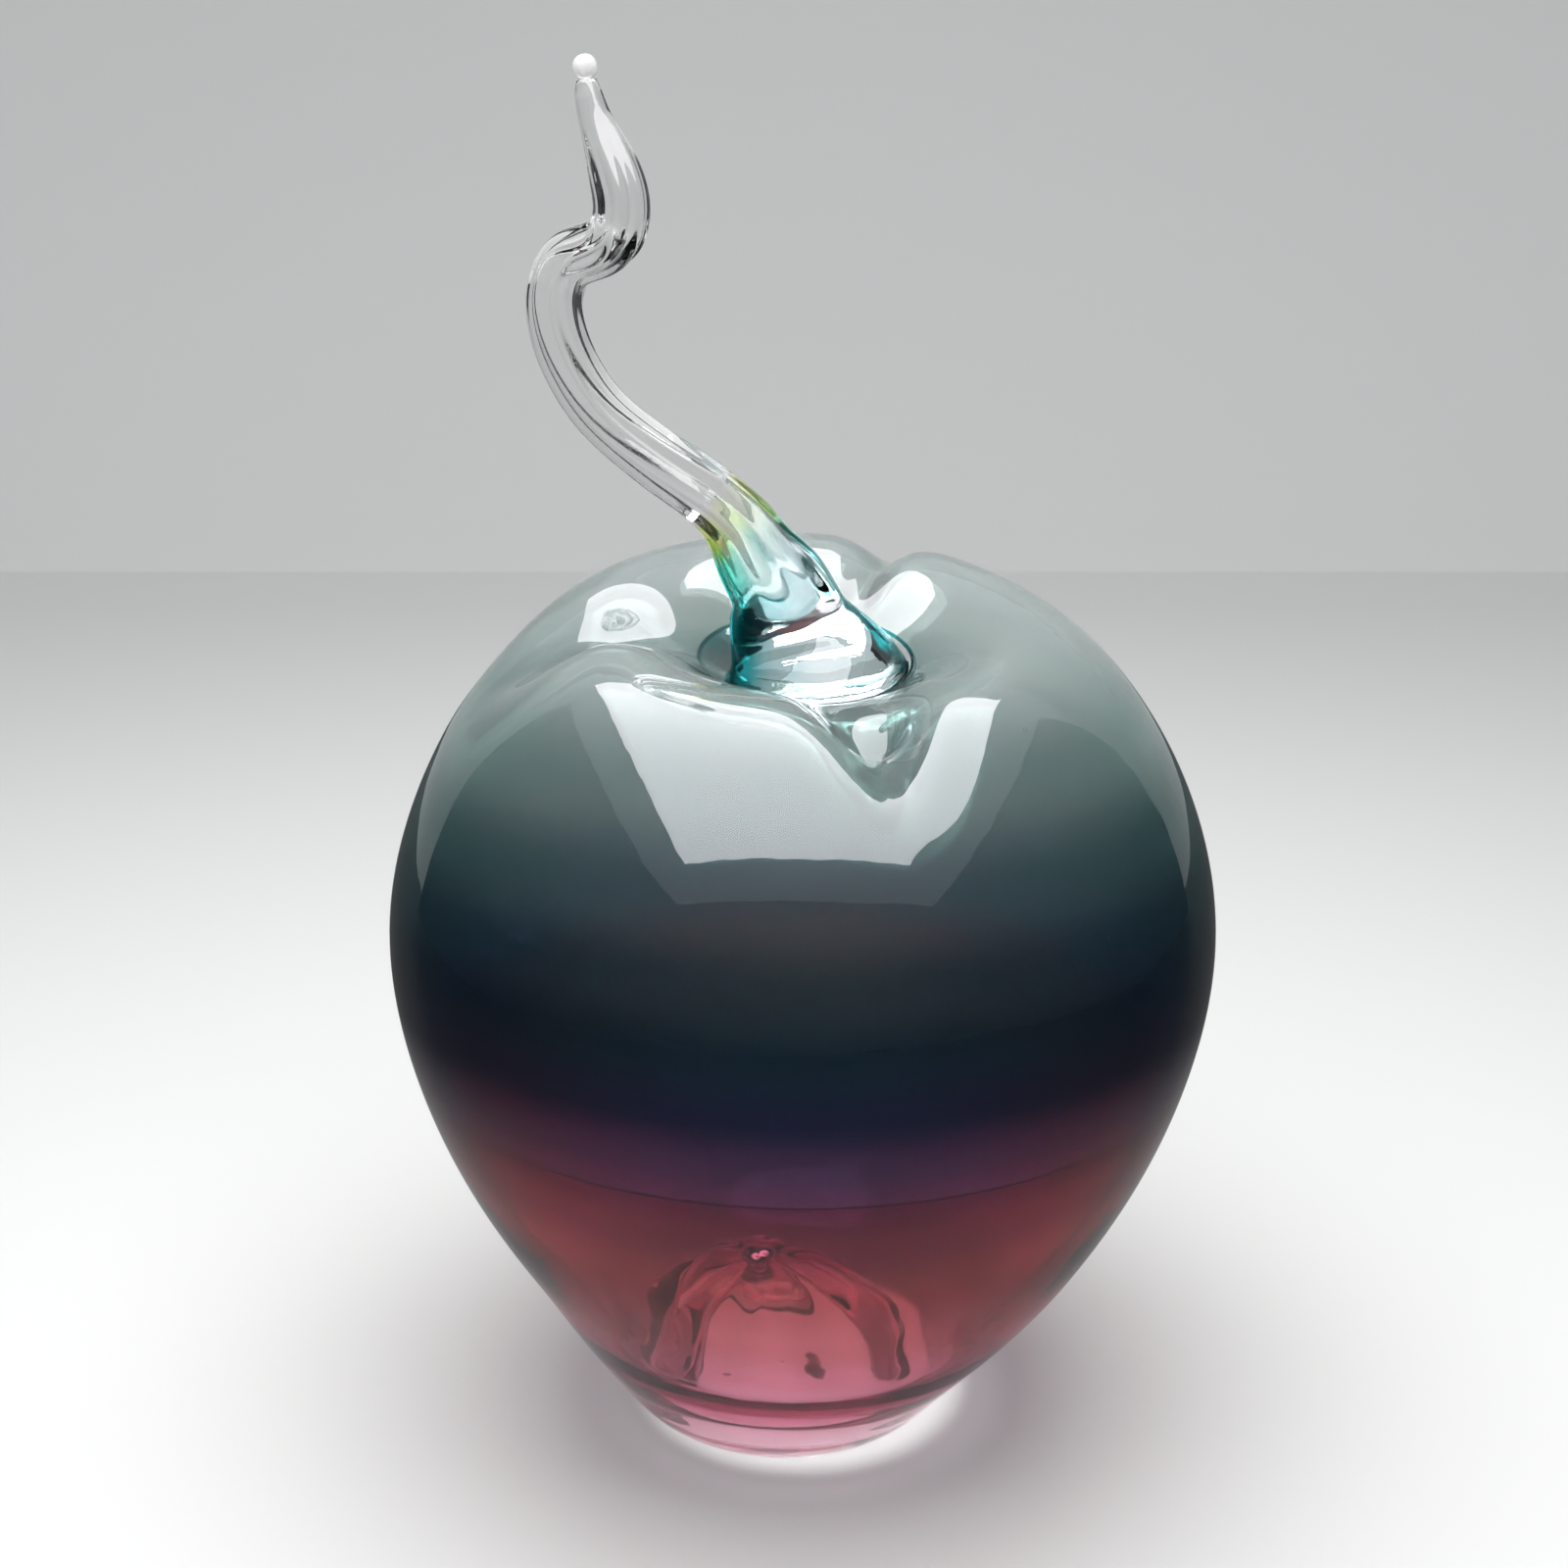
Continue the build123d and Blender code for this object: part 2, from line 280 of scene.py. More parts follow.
# The face of the colour layers: the dome, then the outside moved in by the casing's wall
wall_start = len(punt_outline) + len(foot_outline) - 1
wall_outline = offset_outline(outer_outline[wall_start:], [casing_wall * share for share in wall_shares])
wall_outline[-1][0] = 0
layer_outline = dome_outline + [tuple(point) for point in wall_outline]
layer_crest = crest - wall_start + len(dome_outline)
layer_floor = len(layer_outline) - 2
dome_end = len(dome_outline) - 1
layer_skin = blown_skin(layer_outline, layer_crest, layer_floor, dome_end, layer_stations, dome_crease)
layer_normal = inward_of(layer_skin)
hollow_skin = layer_skin + layer_normal * overlay_wall

# Seeds, tiny bubbles in the wall, each at a row and a turn of the outer skin and a share of the wall's depth.
# The first and last rows of the skin hold none.
seed_count = 26
bare_rows = (20, 18)
seed_depths = (0.25, 0.75)
seed_smallest = 0.12
seed_spread = 0.16
ball_rows = 8
ball_columns = 10
seed_low = (bare_rows[0], 0, seed_depths[0])
seed_high = (body_stations - bare_rows[1], turns, seed_depths[1])
seed_places = np.random.default_rng(5).uniform(seed_low, seed_high, (seed_count, 3))


def seed_shells(grid, inward, places, depth):
    """Each seed is a ball of few faces, its skin turned to the air inside it, at a share of the wall's depth
    below a place on the outer skin. Its radius follows the fraction that seven times that share leaves."""
    row, column = places[:, 0].astype(int), places[:, 1].astype(int)
    centres = grid[row, column] + inward[row, column] * (depth * places[:, 2:])
    sizes = seed_smallest + seed_spread * (places[:, 2:3] * 7 % 1)
    rise = np.linspace(0, np.pi, ball_rows)[:, None]
    turn = np.linspace(0, 2 * np.pi, ball_columns, endpoint=False)[None, :]
    level = -np.cos(rise) + 0 * turn
    ball = np.stack([np.sin(rise) * np.cos(turn), np.sin(rise) * np.sin(turn), level], axis=2)
    return [skin_mesh(ball * size + centre, inward=True) for centre, size in zip(centres, sizes)]


seeds = seed_shells(outer_skin, inward_of(outer_skin), seed_places, casing_wall)
casing = mesh_object("casing_glass", [skin_mesh(outer_skin), skin_mesh(hollow_skin, inward=True)] + seeds)


def new_material(name):
    """An empty node material and its Principled shader."""
    material = bpy.data.materials.new(name)
    material.use_nodes = True
    return material, material.node_tree.nodes["Principled BSDF"]


def link(material, output, socket):
    """Joins an output to a socket in a material."""
    material.node_tree.links.new(output, socket)


def new_group(name, inputs, output, kind):
    """An empty node group with a place and named floats as inputs and one named output, and its two ends."""
    group = bpy.data.node_groups.new(name, "ShaderNodeTree")
    group.interface.new_socket("Place", in_out="INPUT", socket_type="NodeSocketVector")
    for socket, value in inputs:
        made = group.interface.new_socket(socket, in_out="INPUT", socket_type="NodeSocketFloat")
        made.default_value = value
    group.interface.new_socket(output, in_out="OUTPUT", socket_type=kind)
    return group, group.nodes.new("NodeGroupInput"), group.nodes.new("NodeGroupOutput")


def drawn_waves_group():
    """The faint waves of glass that was turned and drawn while hot: broad soft noise, and a share of finer
    noise stretched up the piece, added as one height."""
    inputs = [("Broad Scale", 40), ("Fine Scale", 220), ("Fine Share", 0.3)]
    group, start, end = new_group("drawn_waves", inputs, "Height", "NodeSocketFloat")
    wire = group.links.new
    broad = group.nodes.new("ShaderNodeTexNoise")
    fine = group.nodes.new("ShaderNodeTexNoise")
    stretch = group.nodes.new("ShaderNodeMapping")
    stretch.inputs["Scale"].default_value = (1, 1, 0.25)
    total = group.nodes.new("ShaderNodeMath")
    total.operation = "MULTIPLY_ADD"
    wire(start.outputs["Place"], broad.inputs["Vector"])
    wire(start.outputs["Broad Scale"], broad.inputs["Scale"])
    wire(start.outputs["Place"], stretch.inputs["Vector"])
    wire(stretch.outputs["Vector"], fine.inputs["Vector"])
    wire(start.outputs["Fine Scale"], fine.inputs["Scale"])
    wire(fine.outputs["Fac"], total.inputs[0])
    wire(start.outputs["Fine Share"], total.inputs[1])
    wire(broad.outputs["Fac"], total.inputs[2])
    wire(total.outputs[0], end.inputs["Height"])
    return group


climb_reach = 100.0


def colour_climb_group():
    """How far up the piece a colour has got: the height as a share of the climb's reach, swayed by soft
    noise, because colour that is rolled on by hand runs unevenly."""
    inputs = [("Sway", 0.05), ("Scale", 18)]
    group, start, end = new_group("colour_climb", inputs, "Share", "NodeSocketFloat")
    wire = group.links.new
    split = group.nodes.new("ShaderNodeSeparateXYZ")
    cloud = group.nodes.new("ShaderNodeTexNoise")
    cloud.inputs["Detail"].default_value = 2
    centred = group.nodes.new("ShaderNodeMath")
    centred.operation = "SUBTRACT"
    centred.inputs[1].default_value = 0.5
    share = group.nodes.new("ShaderNodeMath")
    share.operation = "MULTIPLY"
    share.inputs[1].default_value = 1 / (climb_reach * MM)
    total = group.nodes.new("ShaderNodeMath")
    total.operation = "MULTIPLY_ADD"
    wire(start.outputs["Place"], split.inputs[0])
    wire(start.outputs["Place"], cloud.inputs["Vector"])
    wire(start.outputs["Scale"], cloud.inputs["Scale"])
    wire(cloud.outputs["Fac"], centred.inputs[0])
    wire(split.outputs["Z"], share.inputs[0])
    wire(centred.outputs[0], total.inputs[0])
    wire(start.outputs["Sway"], total.inputs[1])
    wire(share.outputs[0], total.inputs[2])
    wire(total.outputs[0], end.inputs["Share"])
    return group


drawn_waves = drawn_waves_group()
colour_climb = colour_climb_group()


def add_waves(material, shader, depth, broad=40, fine=220, fine_share=0.3):
    """Puts the drawn waves on a material as a bump of the given depth in millimetres."""
    nodes = material.node_tree.nodes
    waves = nodes.new("ShaderNodeGroup")
    waves.node_tree = drawn_waves
    waves.inputs["Broad Scale"].default_value = broad
    waves.inputs["Fine Scale"].default_value = fine
    waves.inputs["Fine Share"].default_value = fine_share
    place = nodes.new("ShaderNodeTexCoord")
    bump = nodes.new("ShaderNodeBump")
    bump.inputs["Distance"].default_value = depth * MM
    link(material, place.outputs["Object"], waves.inputs["Place"])
    link(material, waves.outputs["Height"], bump.inputs["Height"])
    link(material, bump.outputs["Normal"], shader.inputs["Normal"])


def soft_ramp(material, share, stops):
    """A colour that eases through the stops, each a place from 0 to 1 and a colour, along one share."""
    ramp = material.node_tree.nodes.new("ShaderNodeValToRGB")
    ramp.color_ramp.interpolation = "EASE"
    while len(ramp.color_ramp.elements) < len(stops):
        ramp.color_ramp.elements.new(1)
    for element, (place, colour) in zip(ramp.color_ramp.elements, stops):
        element.position = place
        element.color = (*colour, 1)
    link(material, share, ramp.inputs["Fac"])
    return ramp.outputs["Color"]


def colour_up(material, shader, stops, sway=0.05, cloud=18):
    """Runs the Base Color up the height through the stops, each a height in millimetres and a colour."""
    nodes = material.node_tree.nodes
    place = nodes.new("ShaderNodeTexCoord")
    climb = nodes.new("ShaderNodeGroup")
    climb.node_tree = colour_climb
    climb.inputs["Sway"].default_value = sway
    climb.inputs["Scale"].default_value = cloud
    link(material, place.outputs["Object"], climb.inputs["Place"])
    shares = [(height / climb_reach, colour) for height, colour in stops]
    link(material, soft_ramp(material, climb.outputs["Share"], shares), shader.inputs["Base Color"])


def glass(name, roughness, bend, clearness, tint, density):
    """A glass material: how rough it is, how much it bends light, the share of light that it lets through,
    and the tint that its depth leaves in the light, the stronger the denser the glass."""
    material, shader = new_material(name)
    shader.inputs["Roughness"].default_value = roughness
    shader.inputs["IOR"].default_value = bend
    shader.inputs["Transmission Weight"].default_value = clearness
    absorb = material.node_tree.nodes.new("ShaderNodeVolumeAbsorption")
    absorb.inputs["Color"].default_value = (*tint, 1)
    absorb.inputs["Density"].default_value = density
    link(material, absorb.outputs[0], material.node_tree.nodes["Material Output"].inputs["Volume"])
    return material, shader


def fit(piece, material, node):
    """Gives a piece its material and puts it in the place of the node that it stands for."""
    piece.data.materials.append(material)
    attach(piece, "root")
    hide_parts(node)


glass_bend = 1.5
casing_stops = [(0, (1, 0.88, 0.91)), (6, (1, 0.92, 0.94)), (15, (1, 0.985, 0.99)), (40, (1, 1, 1))]
casing_glass, shader = glass("casing_glass", roughness=0.0, bend=glass_bend, clearness=1,
                             tint=(0.97, 0.80, 0.84), density=30)
colour_up(casing_glass, shader, casing_stops, sway=0.02)
add_waves(casing_glass, shader, depth=0.08)
fit(casing, casing_glass, "clear_casing")


# Colour overlays
# Two thin layers of coloured glass fused into the casing's inside: smoky teal above, ruby below and over
# the punt. They bend no light against the clear glass around them, so they only colour it. They meet edge to
# edge in the same purple, so the colours run into each other.

# The gap to the hollow, the height where the colours meet, half the gap between them there, and how close in
# height a row may lie to that cut
layer_clearance = 0.04
colour_parting_height = 46.0
parting_gap = 0.01
row_clearance = 0.4

# The share of its thickness that a layer keeps over the foot and the punt, and how many rows below and above
# the side's start it takes to thin
dome_thinning = 0.12
thinning_rows = (11, 25)

# The side starts at the row after the lowest one, which lies in the moat
side_start = np.argmin(layer_skin[: layer_stations // 2, :, 2].mean(axis=1)) + 1
layer_rows = np.arange(layer_stations)
on_wall = smooth(layer_rows, side_start - thinning_rows[0], side_start + thinning_rows[1])[:, None, None]
layer_thickness = (overlay_wall - layer_clearance) * (dome_thinning + (1 - dome_thinning) * on_wall)


def cut_at_parting(skin, gap):
    """The row where a skin's side is cut: on each meridian, the point at the parting's height and its gap,
    on the line between the two stations that the parting lies between."""
    height = skin[side_start:, :, 2]
    above = np.argmax(height > colour_parting_height, axis=0) + side_start
    column = np.arange(skin.shape[1])
    low, high = skin[above - 1, column], skin[above, column]
    share = (colour_parting_height + gap - low[:, 2]) / (high[:, 2] - low[:, 2])
    return low + (high - low) * share[:, None]


def layer_shell(upper):
    """One closed layer: its face in the casing's glass and its back near the hollow, the face moved in by
    the layer's thickness. Both are cut level at the parting, where a narrow end face joins them."""
    on_side = layer_rows >= side_start
    cut_skins = []
    for skin in (layer_skin, layer_skin + layer_normal * layer_thickness):
        mean_height = skin[:, :, 2].mean(axis=1)
        if upper:
            keep = on_side & (mean_height > colour_parting_height + row_clearance)
            cut_skins.append(np.concatenate([cut_at_parting(skin, parting_gap)[None], skin[keep]]))
        else:
            keep = ~on_side | (mean_height < colour_parting_height - row_clearance)
            cut_skins.append(np.concatenate([skin[keep], cut_at_parting(skin, -parting_gap)[None]]))
    face, back = cut_skins
    if upper:
        return skin_mesh(np.concatenate([back[::-1], face]))
    return skin_mesh(np.concatenate([face, back[::-1]]))


teal_layer = mesh_object("teal_layer", [layer_shell(upper=True)])
ruby_layer = mesh_object("ruby_layer", [layer_shell(upper=False)])

fused_bend = 1.0
parting_purple = (0.19, 0.06, 0.16)
teal_stops = [
    (46, parting_purple), (50, (0.10, 0.06, 0.15)), (55, (0.02, 0.05, 0.11)), (61, (0.015, 0.08, 0.12)),
    (67, (0.05, 0.17, 0.20)), (74, (0.22, 0.38, 0.37)), (82, (0.58, 0.72, 0.68)), (90, (0.90, 0.95, 0.92)),
    (98, (0.98, 0.99, 0.98)),
]
ruby_stops = [
    (0, (1, 0.97, 0.985)), (10, (1, 0.95, 0.975)), (15, (1, 0.88, 0.92)), (20, (0.92, 0.62, 0.65)),
    (26, (0.82, 0.45, 0.42)), (34, (0.64, 0.27, 0.24)), (41, (0.36, 0.12, 0.17)), (46, parting_purple),
]
teal_glass, shader = glass("teal_glass", roughness=0.0, bend=fused_bend, clearness=0.88,
                           tint=(0.30, 0.60, 0.58), density=250)
colour_up(teal_glass, shader, teal_stops)
fit(teal_layer, teal_glass, "teal_overlay")
ruby_glass, shader = glass("ruby_glass", roughness=0.0, bend=fused_bend, clearness=0.97,
                           tint=(0.74, 0.06, 0.30), density=850)
colour_up(ruby_glass, shader, ruby_stops)
fit(ruby_layer, ruby_glass, "ruby_overlay")


# Stem and its collar
# A solid bit of clear glass dropped on the dimple while soft, pulled out, twisted, curled and cut off. A
# thin skin of teal glass from the dimple was drawn up round its root.

# The stem's middle line and its radius: x, y, z, radius
stem_line = [
    (0.3, 0, 84.0, 11.6), (0.3, 0, 86.2, 11.4), (-0.2, 0, 89.2, 8.4), (-1.4, 0, 92.4, 6.6),
    (-2.5, 0, 96.0, 5.4), (-4.6, 0, 99.1, 4.5), (-6.6, 0, 102.4, 3.65), (-9.8, 0, 105.6, 3.25),
    (-13.6, 0, 108.4, 3.1), (-17.4, 0.2, 111.3, 2.95), (-21.1, 0.4, 114.8, 2.83), (-23.5, 0.8, 118.5, 2.8),
    (-25.15, 1.4, 123.1, 2.8), (-25.2, 1.9, 126.6, 2.8), (-23.8, 1.2, 129.4, 2.78),
    (-21.3, -0.6, 130.7, 2.75), (-18.85, -2.4, 132.2, 2.73), (-18.1, -2.6, 134.8, 2.7),
    (-18.6, -1.8, 137.8, 2.6), (-19.6, -1.0, 140.7, 2.2), (-20.75, -0.4, 143.7, 1.65),
    (-21.4, 0, 146.8, 1.1), (-21.45, 0, 147.3, 0.92),
]
stem_around = 96
stem_stations = 300
root_gap = 0.04
root_rows = 14

# Flutes drawn along the stem: their depth as a share of the radius, how many, by how many of their widths
# they turn over its length, and the shares of its length where they start, are full and begin to fade
flute_depth = 0.08
flute_count = 7
flute_twist = 1.6
flute_start = 0.1
flute_full = 0.3
flute_fade = 0.85

# The collar ends at this point of the stem's line, thins from its root to there, and stands a fine gap off
# the stem
collar_end_point = 7
collar_root_wall = 0.37
collar_end_wall = 0.12
collar_gap = 0.03


def curve_frame(line):
    """The stem's middle line, its radii, two directions square to it, and the lengths of its given points.
    The first direction is carried along without twist, and the second is square to it and to the line."""
    samples, marks = curve_through(line, stem_stations)
    centre, radius = samples[:, :3], samples[:, 3]
    along = np.gradient(centre, axis=0)
    along /= np.linalg.norm(along, axis=1, keepdims=True)
    side = np.zeros_like(along)
    first = np.array([0.0, 1.0, 0.0])
    for i, direction in enumerate(along):
        first = first - direction * (first @ direction)
        first /= np.linalg.norm(first)
        side[i] = first
    return centre, radius, side, np.cross(along, side), marks


centre, full_radius, side, other_side, marks = curve_frame(stem_line)
travel = np.linspace(0, marks[-1], stem_stations)
stem_length = travel[-1]
flutes = flute_depth * smooth(travel, flute_start * stem_length, flute_full * stem_length)
flutes = flutes * (1 - smooth(travel, flute_fade * stem_length, stem_length))


def rod_grid(radius):
    """A rod round the stem's line: at each station a ring square to the line, its radius waved by the
    flutes, which turn slowly along it."""
    turn = np.linspace(0, 2 * np.pi, stem_around, endpoint=False)[None, :]
    share = np.linspace(0, 1, stem_stations)[:, None]
    wave = 1 + flutes[:, None] * np.cos(flute_count * turn + 2 * np.pi * flute_twist * share)
    reach = radius[:, None] * wave
    across = side[:, None, :] * (reach * np.cos(turn))[:, :, None]
    down = other_side[:, None, :] * (reach * np.sin(turn))[:, :, None]
    return centre[:, None, :] + across + down


def dimple_height(x, y):
    """The height of the dimple's skin at a place near its middle: the half section's height at that radius,
    with the rim's tilt as far as it reaches there."""
    samples, lengths, _, marks = section_of(outer_outline, fine_stations)
    inner = lengths > marks[crest]
    samples, run = samples[inner], marks[crest] - lengths[inner]
    dive = np.clip(-run / (marks[floor] - marks[crest]), 0, 1)
    tilt = tilt_share(run, dive, samples[:, 0])
    order = np.argsort(samples[:, 0])
    radius = np.hypot(x, y)
    height = np.interp(radius, samples[order, 0], samples[order, 1])
    lean = np.interp(radius, samples[order, 0], tilt[order])
    return height + lean * tilt_lift(np.arctan2(y, x))


def seated(grid):
    """A grid whose points under the dimple's skin are lifted just clear of it, so the root sits on it."""
    rest = dimple_height(grid[:, :, 0], grid[:, :, 1]) + root_gap
    return np.dstack([grid[:, :, 0], grid[:, :, 1], np.maximum(grid[:, :, 2], rest)])


def disc_rows(ring, steps, smallest=0.02, largest=0.98):
    """Rings that grow from the middle of a rod's first ring to that ring, so that the root's underside has
    rows: the middle plus a share of the way out."""
    middle = ring.mean(axis=0)
    share = np.linspace(smallest, largest, steps)[:, None, None]
    return middle + (ring - middle) * share


def ring_mesh(grid):
    """Vertices and faces of a grid whose last row joins its first, as on a ring or a hollow skirt."""
    rows, columns = grid.shape[:2]
    row = np.arange(rows)[:, None]
    below = (row + 1) % rows * columns
    row = row * columns
    j = np.arange(columns)[None, :]
    k = (j + 1) % columns
    quads = np.stack([row + j, row + k, below + k, below + j], axis=2)
    return grid.reshape(-1, 3), quads.reshape(-1, 4).tolist()


def skirt_map(piece, rows, columns, climb):
    """A UV map for a ring_mesh: round the rod one way, and the given climb of each row the other way."""
    uv = piece.data.uv_layers.new(name="skirt")
    i = np.arange(rows)[:, None]
    j = np.arange(columns)[None, :]
    corners = [(i, j), (i, j + 1), (i + 1, j + 1), (i + 1, j)]
    u = np.stack([np.broadcast_to(b, (rows, columns)) for a, b in corners], axis=2) / columns
    v = np.stack([np.broadcast_to(climb[a % rows], (rows, columns)) for a, b in corners], axis=2)
    uv.data.foreach_set("uv", np.stack([u, v], axis=3).ravel())


collar_end = marks[collar_end_point]
in_collar = travel <= collar_end
collar_wall = collar_end_wall + (collar_root_wall - collar_end_wall) * (1 - travel / collar_end)
core_radius = full_radius - np.where(in_collar, collar_wall, 0)
core = rod_grid(core_radius)
core = seated(np.concatenate([disc_rows(core[0], root_rows), core]))
stem = mesh_object("stem_rod", [skin_mesh(core)])

outside = rod_grid(full_radius)[in_collar]
inside = rod_grid(core_radius + collar_gap)[in_collar]
lip = (outside[-1:] + inside[-1:]) / 2
collar_skin = seated(np.concatenate([outside, lip, inside[::-1]]))
collar = mesh_object("collar_skin", [ring_mesh(collar_skin)])
climb = travel[in_collar] / collar_end
skirt_map(collar, len(collar_skin), stem_around, np.concatenate([climb, [1], climb[::-1]]))

stem_stops = [(0, (0.98, 1, 1)), (96, (0.985, 1, 1)), (100, (1, 1, 1))]
stem_glass, shader = glass("stem_glass", roughness=0.0, bend=glass_bend, clearness=1,
                           tint=(0.93, 0.97, 0.96), density=6)
colour_up(stem_glass, shader, stem_stops, sway=0.3)
add_waves(stem_glass, shader, depth=0.12, broad=70, fine=420)
fit(stem, stem_glass, "stem")


def grey(value):
    """A grey as a colour."""
    return (value, value, value)


# The collar's streaks: how much colour it holds round the rod, and its colour from the root to its end
round_stops = [
    (0, grey(0.15)), (0.08, grey(0.5)), (0.2, grey(1)), (0.36, grey(0.95)), (0.46, grey(0.25)),
    (0.54, grey(0.04)), (0.67, grey(0.05)), (0.75, grey(0.8)), (0.82, grey(0.2)), (1, grey(0.15)),
]
up_stops = [
    (0, (0.02, 0.50, 0.55)), (0.5, (0.0, 0.55, 0.58)), (0.72, (0.05, 0.62, 0.50)),
    (0.84, (0.62, 0.80, 0.12)), (0.92, (0.92, 0.95, 0.45)), (1, (1, 1, 1)),
]
collar_glass, shader = glass("collar_glass", roughness=0.0, bend=1.05, clearness=1,
                             tint=(0.5, 0.9, 0.9), density=20)
nodes = collar_glass.node_tree.nodes
skirt = nodes.new("ShaderNodeUVMap")
skirt.uv_map = "skirt"
skirt_split = nodes.new("ShaderNodeSeparateXYZ")
streaks = nodes.new("ShaderNodeMix")
streaks.data_type = "RGBA"
streaks.inputs["A"].default_value = (1, 1, 1, 1)
link(collar_glass, skirt.outputs["UV"], skirt_split.inputs[0])
where_round = soft_ramp(collar_glass, skirt_split.outputs["X"], round_stops)
colour_along = soft_ramp(collar_glass, skirt_split.outputs["Y"], up_stops)
link(collar_glass, where_round, streaks.inputs["Factor"])
link(collar_glass, colour_along, streaks.inputs["B"])
link(collar_glass, streaks.outputs["Result"], shader.inputs["Base Color"])
fit(collar, collar_glass, "stem_collar")


# Stem tip
# The small milky bead of glass that was left where the stem was melted off with a torch. It is fused to the
# stem's thin end.

tip_centre = np.array([-21.5, 0.0, 148.3])
tip_radius = 1.22
tip_lumps = 0.03


def bead_grid(centre, radius, lumps, rows=40, columns=48):
    """A bead: a ball whose radius has a few soft lumps, its rows from the bottom to the top."""
    rise = np.linspace(0, np.pi, rows)[:, None]
    turn = np.linspace(0, 2 * np.pi, columns, endpoint=False)[None, :]
    lump = np.sin(rise) * (np.sin(3 * turn + 2 * rise) + np.cos(2 * rise + turn))
    reach = radius * (1 + lumps * lump)
    x = reach * np.sin(rise) * np.cos(turn)
    y = reach * np.sin(rise) * np.sin(turn)
    z = -reach * np.cos(rise)
    return np.stack([x, y, z], axis=2) + centre


tip = mesh_object("tip_bead", [skin_mesh(bead_grid(tip_centre, tip_radius, tip_lumps))])
tip_stops = [(0, (0.9, 0.92, 0.9)), (100, (0.96, 0.96, 0.95))]
tip_glass, shader = glass("tip_glass", roughness=0.12, bend=glass_bend, clearness=0.45,
                          tint=(0.95, 0.95, 0.95), density=200)
colour_up(tip_glass, shader, tip_stops, sway=1.0)
add_waves(tip_glass, shader, depth=0.1, broad=300, fine=900)
fit(tip, tip_glass, "stem_tip")


# Pontil seal
# The wad of glass that closes the blowing hole at the crown of the punt: a silvery bead in the hollow, a
# neck through the hole and a button on the underside.

# Half section from the button's underside to the bead's top: radius and height
seal_line = [(0, 11.25), (1.2, 11.45), (1.95, 12.0), (1.47, 12.3), (1.46, 14.2), (1.47, 15.9), (2.05, 16.2),
             (2.1, 16.8), (1.35, 17.4), (0, 17.6)]
seal_x = foot_shift + punt_lean
seal_lumps = 0.06
button_full, button_end = 11.5, 12.0
bead_start, bead_full = 16.0, 16.6


def wad_grid(line, centre_x, lumps, count=80, columns=64):
    """A turned wad: its half section carried round its own axis, its two free ends waved by sines of the
    angle and its neck round."""
    samples, _ = curve_through(line, count)
    turn = np.linspace(0, 2 * np.pi, columns, endpoint=False)[None, :]
    radius, height = np.maximum(samples[:, :1], 0), samples[:, 1:]
    free = smooth(height, bead_start, bead_full) + smooth(-height, -button_end, -button_full)
    reach = radius * (1 + lumps * free * (np.sin(3 * turn + 1) + 0.6 * np.sin(5 * turn + height)))
    x = centre_x + reach * np.cos(turn)
    y = reach * np.sin(turn)
    z = height + lumps * free * np.cos(2 * turn) * radius
    return np.stack([x, y, z], axis=2)


seal = mesh_object("seal_wad", [skin_mesh(wad_grid(seal_line, seal_x, seal_lumps))])
seal_stops = [(10, (0.92, 0.90, 0.90)), (14, (0.95, 0.92, 0.93)), (18, (0.88, 0.92, 0.95))]
seal_glass, shader = glass("seal_glass", roughness=0.03, bend=glass_bend, clearness=0.8,
                           tint=(0.85, 0.88, 0.9), density=60)
shader.inputs["Metallic"].default_value = 0.6
colour_up(seal_glass, shader, seal_stops, sway=0.6)
add_waves(seal_glass, shader, depth=0.3, broad=260, fine=900)
fit(seal, seal_glass, "pontil_seal")


# Photo table
# A seamless pale sweep, one large soft box overhead, and the camera where the photograph was taken. Dark
# cards at the sides and in front, and a dark cloth round the foot, are seen by the glass and not by the
# camera: they keep the pale floor out of the mirror images.

# The sweep's section: the flat floor, a quarter round and the wall
sweep_steps = 60
sweep_half_width = 1400.0
floor_front, floor_back, bend_radius, wall_top = -900.0, 420.0, 260.0, 900.0
floor_length = floor_back - floor_front
bend_length = bend_radius * np.pi / 2
run = np.linspace(0, 1, sweep_steps) * (floor_length + bend_length + (wall_top - bend_radius))
turned = np.clip((run - floor_length) / bend_radius, 0, np.pi / 2)
y = np.where(run < floor_length, floor_front + run, floor_back + bend_radius * np.sin(turned))
z = np.where(run < floor_length, 0, bend_radius * (1 - np.cos(turned)))
z = z + np.clip(run - floor_length - bend_length, 0, None)
x = np.array([-sweep_half_width, sweep_half_width])
sweep_grid = np.stack(np.broadcast_arrays(x, y[:, None], z[:, None]), axis=2)
i = np.arange(sweep_steps - 1)
sweep_faces = np.stack([2 * i, 2 * i + 1, 2 * i + 3, 2 * i + 2], axis=1).tolist()
sweep = mesh_object("paper_sweep", [(sweep_grid.reshape(-1, 3), sweep_faces)])


def spot_ramp(material, start, end, stops):
    """A soft ramp over the distance from the frame's origin under the apple, from a start to an end in
    millimetres."""
    nodes = material.node_tree.nodes
    place = nodes.new("ShaderNodeTexCoord")
    distance = nodes.new("ShaderNodeVectorMath")
    distance.operation = "LENGTH"
    share = nodes.new("ShaderNodeMapRange")
    share.inputs["From Min"].default_value = start * MM
    share.inputs["From Max"].default_value = end * MM
    link(material, place.outputs["Object"], distance.inputs[0])
    link(material, distance.outputs["Value"], share.inputs["Value"])
    return soft_ramp(material, share.outputs["Result"], stops)


